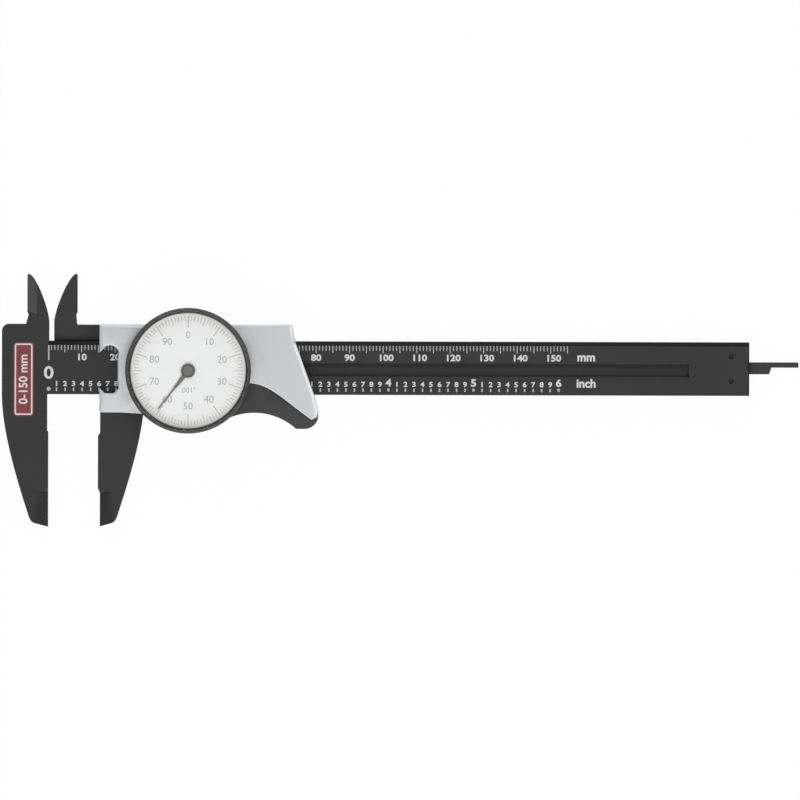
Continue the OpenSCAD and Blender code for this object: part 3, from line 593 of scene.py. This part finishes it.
def inset_top(obj, border):
    """Draws a border of that width on the flat top of obj."""
    pick(obj)
    bpy.ops.object.mode_set(mode="EDIT")
    bpy.ops.mesh.select_mode(type="FACE")
    bpy.ops.mesh.select_all(action="DESELECT")
    mesh = bmesh.from_edit_mesh(obj.data)
    top = max(corner.co.z for corner in mesh.verts)
    for face in mesh.faces:
        face.select = all(corner.co.z > top - NEAR for corner in face.verts)
    bmesh.update_edit_mesh(obj.data)
    bpy.ops.mesh.inset(thickness=border)
    bpy.ops.object.mode_set(mode="OBJECT")


def slim_needle(obj):
    """Draws in the arm of the hand from its middle to its tip."""
    pick(obj)
    bpy.ops.object.mode_set(mode="EDIT")
    bpy.ops.mesh.select_mode(type="EDGE")
    bpy.ops.mesh.select_all(action="DESELECT")
    mesh = bmesh.from_edit_mesh(obj.data)
    for edge in mesh.edges:
        edge.select = edge.calc_length() > NEEDLE_FROM
    bmesh.update_edit_mesh(obj.data)
    bpy.ops.mesh.subdivide(number_cuts=1)
    mesh = bmesh.from_edit_mesh(obj.data)
    centre = DIAL_AT.xy
    tip = max((corner.co.xy - centre for corner in mesh.verts), key=lambda out: out.length)
    ends = [corner.co.xy - centre for corner in mesh.verts if (corner.co.xy - centre - tip).length < MM]
    way = sum(ends, Vector((0.0, 0.0))).normalized()
    for corner in mesh.verts:
        reach = (corner.co.xy - centre).dot(way)
        side = corner.co.xy - centre - way * reach
        half = (NEEDLE_TIP if reach > tip.length - MM else NEEDLE_MIDDLE) / 2
        if reach > NEEDLE_FROM and side.length > half:
            corner.co.xy = centre + way * reach + side.normalized() * half
    bmesh.update_edit_mesh(obj.data)
    bpy.ops.object.mode_set(mode="OBJECT")


def weigh_edges(obj, wanted):
    """Marks for rounding the sharp edges whose two ends both pass the test."""
    mesh = bmesh.new()
    mesh.from_mesh(obj.data)
    weight = mesh.edges.layers.float.new("bevel_weight_edge")
    for edge in mesh.edges:
        sharp = edge.is_manifold and edge.calc_face_angle() > SHARP
        edge[weight] = float(sharp and all(wanted(corner.co) for corner in edge.verts))
    mesh.to_mesh(obj.data)
    mesh.free()


def everywhere(place):
    return True


def nowhere(face):
    return 0.0


def softened(obj, node, width, material, body, wanted=everywhere, polish=nowhere, painted_shade=nowhere):
    """Rounds the sharp edges of a copied solid and marks its rounded edges, the faces with painted highlight and the
    strips with painted shade.
    """
    weigh_edges(obj, wanted)
    obj.data.materials.clear()
    obj.data.materials.append(material)
    obj.data.materials.append(material)
    soft = obj.modifiers.new("soft_edges", "BEVEL")
    soft.width = width
    soft.segments = ROUND_CUTS
    soft.limit_method = "WEIGHT"
    soft.use_clamp_overlap = False
    soft.miter_outer = "MITER_ARC"
    soft.material = 1
    cut = obj.modifiers.new("even_cuts", "TRIANGULATE")
    cut.min_vertices = 5
    cut.ngon_method = "BEAUTY"
    apply_all(obj)
    marks = obj.data.attributes
    for mark in ("edge", "polish", "painted_shade"):
        marks.new(mark, "FLOAT", "FACE")
    for face in obj.data.polygons:
        marks["edge"].data[face.index].value = float(face.material_index == 1)
        # These marks give the painted highlight and the painted shade of the chosen faces.
        marks["polish"].data[face.index].value = polish(face)
        marks["painted_shade"].data[face.index].value = painted_shade(face)
        face.material_index = 0
    pick(obj)
    bpy.ops.object.shade_smooth_by_angle(angle=SMOOTH)
    even = obj.modifiers.new("even_normals", "WEIGHTED_NORMAL")
    even.keep_sharp = True
    apply_all(obj)
    dress(obj, material, body)
    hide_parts(node)
    return obj


def at_beam_end(place):
    return place.x > BEAM_HIGH.x - NEAR and place.z > BEAM_FACE - NEAR


def off_pins_and_tips(place):
    return abs(place.x - PIN_AT.x) > PIN_ROOM and place.y < BEAM_HIGH.y - TIP_SHARP


def dressed_band(face):
    """The long bevel on the upper front edge of the beam, and the one across its end, painted dark as shade."""
    slanted = face.normal.z > 0.3
    upper = face.normal.y > 0.5 and face.center.x > 0 and abs(face.center.y - BAND_Y) < MM
    across = face.normal.x > 0.5 and face.center.x > BEAM_HIGH.x - MM
    return float(slanted and (upper or across))


def ground_knife(face):
    """The slanted front of the fixed inside jaw, up to its measuring edge, painted lighter as a highlight."""
    ground = face.center.y > KNIFE_Y and face.normal.z > 0.5 and face.normal.x < -0.1
    return KNIFE_HIGHLIGHT if ground else 0.0


def thumb_polish(face):
    """The front of the thumb hook, painted lighter as a sheen."""
    front = face.normal.z > 0.7 and face.center.z > HOOK_Z
    return HOOK_SHEEN if front and face.center.x > DIAL_AT.x and face.center.y < DIAL_AT.y else 0.0


def outside_cover(place):
    """True off the dial, on the face of the cover and on its left and upper walls."""
    if math.hypot(place.x - DIAL_AT.x, place.y - DIAL_AT.y) < BEZEL_R - MM:
        return False
    shown = place.z > COVER_FACE - COVER_EDGE
    return shown or place.x < COVER_LOW.x + NEAR or place.y > COVER_HIGH.y - NEAR


def round_notch(place):
    """True on the front edge of the reading notch, inside the bevel of the left edge."""
    return COVER_LOW.x + NOTCH_FROM < place.x < COVER_LOW.x + NOTCH_TO and place.z > COVER_FACE - NEAR


def cover_rim(face):
    """The bevels round the face of the cover and its notch, painted lighter as a highlight."""
    return RIM_HIGHLIGHT if face.center.z > COVER_FACE - COVER_EDGE and 0.2 < face.normal.z < 0.96 else 0.0


def cover_slope(face):
    """The part of the face that falls towards the right edge, painted darker as shade."""
    return float(face.center.x > DIAL_AT.x and 0.02 < face.normal.x < 0.1 and face.normal.z > 0.98)


def cap_border(face):
    """The darker border of the hand's cap."""
    off = math.hypot(face.center.x - DIAL_AT.x, face.center.y - DIAL_AT.y)
    return CAP_SHADE if off > CAP_INNER_R else 0.0


def outside_slider(place):
    """True where the cover doesn't hide the slider, short of the sharp tip of its inside jaw."""
    along = COVER_LOW.x + MM < place.x < COVER_HIGH.x - HIDDEN_RIGHT
    across = COVER_LOW.y + HIDDEN_LOW < place.y < COVER_HIGH.y - MM
    return not (along and across) and place.y < BEAM_HIGH.y - TIP_SHARP


beam = copied("beam", "beam_moulding")
eased(beam, at_beam_end, END_EASE, 1)
softened(beam, "beam", BEAM_SOFT, BLACK, "beam_unit", off_pins_and_tips, ground_knife, dressed_band)
cover = copied("slider_cover", "cover_shell")
eased(cover, round_notch, NOTCH_EASE, 3)
softened(
    cover, "slider_cover", COVER_SOFT, SILVER, "slider_unit", outside_cover, cover_rim, cover_slope)
slider = copied("slider_body", "slider_moulding")
softened(slider, "slider_body", SLIDER_SOFT, HOOK_BLACK, "slider_unit", outside_slider, thumb_polish)
for node, name, width, material, body, slot in (
    ("end_stop", "end_stop_plate", 0.25, BLACK, "beam_unit", "black_polymer"),
    ("back_plate", "back_plate_moulding", 0.2, HOOK_BLACK, "slider_unit", "black_polymer"),
    ("depth_rod", "depth_rod_strip", 0.12, ROD_BLACK, "slider_unit", "rod_dark"),
    ("bezel", "bezel_ring", 0.18, BEZEL_BLACK, "bezel_unit", "bezel_black"),
    ("crystal", "dial_crystal", 0.3, CRYSTAL, "bezel_unit", "crystal_clear"),
):
    softened(copied(node, name), node, width * MM, material, body)
hand = copied("pointer", "dial_hand")
slim_needle(hand)
softened(hand, "pointer", HAND_SOFT, HAND_GREY, "pointer_unit")
cap = copied("pointer_hub", "hand_cap")
inset_top(cap, CAP_R - CAP_INNER_R)
softened(cap, "pointer_hub", CAP_SOFT, HAND_GREY, "pointer_unit", painted_shade=cap_border)


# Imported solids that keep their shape

for material, names in (
    (RACK_BLACK_AND_SHADE, ("end_stop_pins", "gear_rack")),
    (STEEL, ("case_screws", "gib_spring", "depth_rod_pin", "bridge_screws", "bezel_spring")),
    (STEEL, ("pinion_arbor", "takeup_spring", "centre_arbor")),
    (BRASS, ("movement_bridge", "pinion_bush", "centre_bush", "bridge_bushes", "drive_gear", "takeup_gear")),
    (DIAL_WHITE, ("dial_face",)),
):
    for node in names:
        nodes[node].data.materials.clear()
        nodes[node].data.materials.append(material)


# Printed marks

def thicken():
    """Gives the selected flat faces the thickness of the ink."""
    bpy.ops.mesh.extrude_region_move(TRANSFORM_OT_translate={"value": (0, 0, INK_SINK + INK_RISE)})
    bpy.ops.mesh.select_all(action="SELECT")
    bpy.ops.mesh.normals_make_consistent(inside=False)


def ink_bar(name, x, low, high, width, face, foot=None):
    """A printed line from low to high at x, with softened corners and a wider or narrower foot."""
    let_go()
    bpy.ops.mesh.primitive_plane_add(size=1.0, location=(x, (low + high) / 2, face - INK_SINK))
    bar = bpy.context.view_layer.objects.active
    bar.scale = (width, high - low, 1.0)
    settle(bar, name)
    bpy.ops.object.mode_set(mode="EDIT")
    if foot:
        mesh = bmesh.from_edit_mesh(bar.data)
        for corner in mesh.verts:
            if corner.co.y < (low + high) / 2:
                corner.co.x = x + (corner.co.x - x) * foot / width
        bmesh.update_edit_mesh(bar.data)
    bpy.ops.mesh.select_all(action="SELECT")
    bpy.ops.mesh.bevel(affect="VERTICES", offset=width * 0.25, segments=2)
    thicken()
    bpy.ops.object.mode_set(mode="OBJECT")
    return bar


def ink_words(name, words, size, x, y, face, weight=0.0, turn=0.0, wide=1.0):
    """Printed numerals or a plain unit word, centred on x and y and drawn wide times its width."""
    let_go()
    bpy.ops.object.text_add(location=(x, y, face), rotation=(0, 0, turn))
    text = bpy.context.view_layer.objects.active
    text.data.body = words
    text.data.size = size
    text.data.align_x = "CENTER"
    text.data.align_y = "CENTER"
    text.data.resolution_u = 3
    text.data.offset = weight
    text.data.extrude = (INK_SINK + INK_RISE) / 2
    text.location.z = face + (INK_RISE - INK_SINK) / 2
    text.scale.x = wide
    bpy.ops.object.convert(target="MESH")
    return settle(bpy.context.view_layer.objects.active, name)


def ink_spot(name, x, y, radius, face):
    let_go()
    bpy.ops.mesh.primitive_circle_add(
        vertices=24, radius=radius, fill_type="NGON", location=(x, y, face - INK_SINK))
    spot = settle(bpy.context.view_layer.objects.active, name)
    bpy.ops.object.mode_set(mode="EDIT")
    bpy.ops.mesh.select_all(action="SELECT")
    thicken()
    bpy.ops.object.mode_set(mode="OBJECT")
    return spot


def millimetre_scale():
    ones = row(ink_bar("ones", MM, MM_TOP - MM_SHORT, MM_TOP, MM_LINE, BEAM_FACE), (MM, 0, 0), 4)
    row(ones, (5 * MM, 0, 0), 31)
    fives = ink_bar("fives", 5 * MM, MM_TOP - MM_LONG, MM_TOP, MM_LINE, BEAM_FACE)
    row(fives, (5 * MM, 0, 0), 31)
    zero = ink_bar("zero", ZERO_X, ZERO_LINE_LOW, MM_TOP, ZERO_LINE, BEAM_FACE)
    marks = merged([ones, fives, zero], "millimetre_marks")
    figures = []
    for value in range(10, MM_LAST + 1, 10):
        x = value * MM + HUNDREDS_SHIFT * (value // 100)
        figures.append(ink_words("figure", str(value), MM_DIGIT, x, MM_DIGIT_Y, BEAM_FACE, BOLD * MM_DIGIT,
                                 wide=DIGIT_WIDE))
    figures.append(ink_words("unit", "mm", WORD_SIZE, WORD_X, MM_WORD_Y, BEAM_FACE, BOLD * WORD_SIZE))
    figures.append(ink_words("nought", "0", ZERO_DIGIT, ZERO_X, ZERO_DIGIT_Y, BEAM_FACE, HALF_BOLD * ZERO_DIGIT,
                             wide=DIGIT_WIDE))
    return [marks, merged(figures, "millimetre_figures")]


def inch_scale():
    tenths = ink_bar("tenths", INCH / 10, TENTH_LOW, TENTH_TOP, TENTH_LINE, BEAM_FACE)
    row(tenths, (INCH / 10, 0, 0), 9)
    row(tenths, (INCH, 0, 0), INCH_LAST)
    wholes = ink_bar("wholes", INCH, TENTH_LOW, TENTH_TOP, INCH_LINE, BEAM_FACE, INCH_FOOT)
    row(wholes, (INCH, 0, 0), INCH_LAST)
    dot = ink_spot("dot", ZERO_X, ZERO_DOT_Y, ZERO_DOT_R, BEAM_FACE)
    marks = merged([tenths, wholes, dot], "inch_marks")
    figures = []
    for value in range(1, 10):
        digit = ink_words("tenth", str(value), TENTH_DIGIT, value * INCH / 10, TENTH_DIGIT_Y, BEAM_FACE,
                          BOLD * TENTH_DIGIT, wide=DIGIT_WIDE)
        figures.append(row(digit, (INCH, 0, 0), INCH_LAST))
    for value in range(1, INCH_LAST + 1):
        figures.append(ink_words("whole", str(value), INCH_DIGIT, value * INCH, INCH_DIGIT_Y, BEAM_FACE,
                                 BOLD * INCH_DIGIT, wide=DIGIT_WIDE))
    figures.append(ink_words("unit", "inch", WORD_SIZE, WORD_X, INCH_WORD_Y, BEAM_FACE, BOLD * WORD_SIZE))
    return [marks, merged(figures, "inch_figures")]


for marks, figures in (millimetre_scale(), inch_scale()):
    dress(marks, MARK_GREY, "beam_unit")
    dress(figures, FIGURE_WHITE, "beam_unit")


def label_panel(name, width, height, corner, face, hole=0.0):
    """A rounded panel of ink, or with hole a frame of that width."""
    let_go()
    bpy.ops.mesh.primitive_plane_add(size=1.0, location=(LABEL_AT.x, LABEL_AT.y, face - INK_SINK))
    panel = bpy.context.view_layer.objects.active
    panel.scale = (width, height, 1.0)
    settle(panel, name)
    bpy.ops.object.mode_set(mode="EDIT")
    bpy.ops.mesh.select_all(action="SELECT")
    bpy.ops.mesh.bevel(affect="VERTICES", offset=corner, segments=8)
    if hole:
        bpy.ops.mesh.select_all(action="SELECT")
        bpy.ops.mesh.inset(thickness=hole)
        bpy.ops.mesh.delete(type="FACE")
        bpy.ops.mesh.select_all(action="SELECT")
    thicken()
    bpy.ops.object.mode_set(mode="OBJECT")
    return panel


panel = label_panel("label_panel", LABEL_W, LABEL_H, LABEL_CORNER, BEAM_FACE)
dress(panel, LABEL_RED, "beam_unit")
label_top = BEAM_FACE + INK_RISE
rim = label_panel(
    "label_rim", LABEL_W - LABEL_MARGIN, LABEL_H - LABEL_MARGIN, LABEL_BORDER_CORNER, label_top, LABEL_BORDER)
words = ink_words(
    "label_words", "0-150 mm", LABEL_TEXT, LABEL_AT.x, LABEL_AT.y, label_top, HALF_BOLD * LABEL_TEXT, math.pi / 2)
dress(merged([rim, words], "label_print"), LABEL_WHITE, "beam_unit")


def dial_ticks(name, first, count, length, line):
    """Lines round the dial from that division on: four in every five with count 4, else one in every ten."""
    bar = ink_bar(name, DIAL_AT.x, DIAL_AT.y + TICK_OUT - length, DIAL_AT.y + TICK_OUT, line, DIAL_FACE)
    bpy.ops.object.mode_set(mode="EDIT")
    bpy.ops.mesh.select_all(action="SELECT")
    centre = (DIAL_AT.x, DIAL_AT.y, DIAL_FACE)
    division = 2 * math.pi / 100
    if first:
        bpy.ops.transform.rotate(value=first * division, orient_axis="Z", center_override=centre)
    if count == 4:
        bpy.ops.mesh.spin(steps=3, dupli=True, angle=3 * division, center=centre, axis=(0, 0, 1))
        bpy.ops.mesh.select_all(action="SELECT")
        bpy.ops.mesh.spin(steps=19, dupli=True, angle=19 * 5 * division, center=centre, axis=(0, 0, 1))
    else:
        bpy.ops.mesh.spin(steps=9, dupli=True, angle=9 * 10 * division, center=centre, axis=(0, 0, 1))
    bpy.ops.mesh.select_all(action="SELECT")
    bpy.ops.mesh.normals_make_consistent(inside=False)
    bpy.ops.object.mode_set(mode="OBJECT")
    return bar


def dial_print():
    marks = merged([
        dial_ticks("ones", 1, 4, TICK_ONE, TICK_LINE),
        dial_ticks("fives", 5, 10, TICK_FIVE, TICK_LINE),
        dial_ticks("tens", 0, 10, TICK_TEN, TICK_TEN_LINE),
    ], "dial_marks")
    figures = []
    for step in range(10):
        angle = math.radians(36.0 * step)
        x = DIAL_AT.x + DIAL_DIGIT_R * math.sin(angle)
        y = DIAL_AT.y + DIAL_DIGIT_R * math.cos(angle)
        figures.append(ink_words("figure", str(10 * step), DIAL_DIGIT, x, y, DIAL_FACE, 0.0))
    figures.append(ink_words("note", DIAL_NOTE, DIAL_NOTE_SIZE, DIAL_AT.x, DIAL_AT.y + DIAL_NOTE_Y, DIAL_FACE))
    return [marks, merged(figures, "dial_figures")]


for piece in dial_print():
    dress(piece, DIAL_GREY, "bezel_unit")


# Floor, light and camera

def pale_floor():
    """A pale table that shows white to the camera and keeps a soft shadow."""
    let_go()
    bpy.ops.mesh.primitive_plane_add(size=FLOOR_SIZE, location=(VIEW_AT.x, VIEW_AT.y, cad_low.z - FLOOR_DROP))
    floor = settle(bpy.context.view_layer.objects.active, "pale_floor")
    finish = Finish("pale_table")
    finish.set(**{"Base_Color": (0.9, 0.9, 0.9, 1.0), "Roughness": 0.9, "Specular_IOR_Level": 0.0})
    tree = finish.tree
    rays = tree.nodes.new("ShaderNodeLightPath")
    seen = maths(tree, "MAXIMUM", rays.outputs["Is Camera Ray"], rays.outputs["Is Glossy Ray"])
    seen = maths(tree, "MAXIMUM", seen, rays.outputs["Is Transmission Ray"])
    glow = tree.nodes.new("ShaderNodeEmission")
    both = tree.nodes.new("ShaderNodeMixShader")
    tree.links.new(maths(tree, "MULTIPLY", seen, FLOOR_SHOWN), both.inputs["Fac"])
    tree.links.new(finish.shader.outputs["BSDF"], both.inputs[1])
    tree.links.new(glow.outputs["Emission"], both.inputs[2])
    tree.links.new(both.outputs["Shader"], tree.nodes["Material Output"].inputs["Surface"])
    floor.data.materials.append(finish.material)


def soft_lamp(name, at, size, power):
    let_go()
    bpy.ops.object.light_add(type="AREA", location=at)
    lamp = bpy.context.view_layer.objects.active
    lamp.name = name
    lamp.data.shape = "SQUARE"
    lamp.data.size = size
    lamp.data.energy = power
    lamp.rotation_euler = (VIEW_AT - Vector(at)).to_track_quat("-Z", "Y").to_euler()


def pale_world(strength):
    world = bpy.data.worlds.new("pale_room")
    bpy.context.scene.world = world
    world.use_nodes = True
    tree = world.node_tree
    room = tree.nodes["Background"]
    socket_value(room, "Color", (1.0, 1.0, 1.0, 1.0))
    socket_value(room, "Strength", strength)
    seen = tree.nodes.new("ShaderNodeBackground")
    socket_value(seen, "Color", (1.0, 1.0, 1.0, 1.0))
    socket_value(seen, "Strength", 1.0)
    rays = tree.nodes.new("ShaderNodeLightPath")
    both = tree.nodes.new("ShaderNodeMixShader")
    tree.links.new(rays.outputs["Is Camera Ray"], both.inputs["Fac"])
    tree.links.new(room.outputs["Background"], both.inputs[1])
    tree.links.new(seen.outputs["Background"], both.inputs[2])
    tree.links.new(both.outputs["Shader"], tree.nodes["World Output"].inputs["Surface"])


def camera_over():
    let_go()
    bpy.ops.object.camera_add(location=VIEW_AT + Vector((0, 0, VIEW_HEIGHT)), rotation=(0, 0, VIEW_ROLL))
    camera = bpy.context.view_layer.objects.active
    camera.name = "front_camera"
    camera.data.sensor_width = SENSOR_W
    camera.data.lens = SENSOR_W * VIEW_HEIGHT / VIEW_W
    camera.data.clip_start = 0.01
    camera.data.clip_end = 20.0
    bpy.context.scene.camera = camera


pale_floor()
pale_world(ROOM_LIGHT)
for name, along, across, height, size, power in LAMPS:
    soft_lamp(name, (VIEW_AT.x + along, VIEW_AT.y + across, height), size, power)
camera_over()
bpy.context.scene.view_settings.view_transform = "Standard"
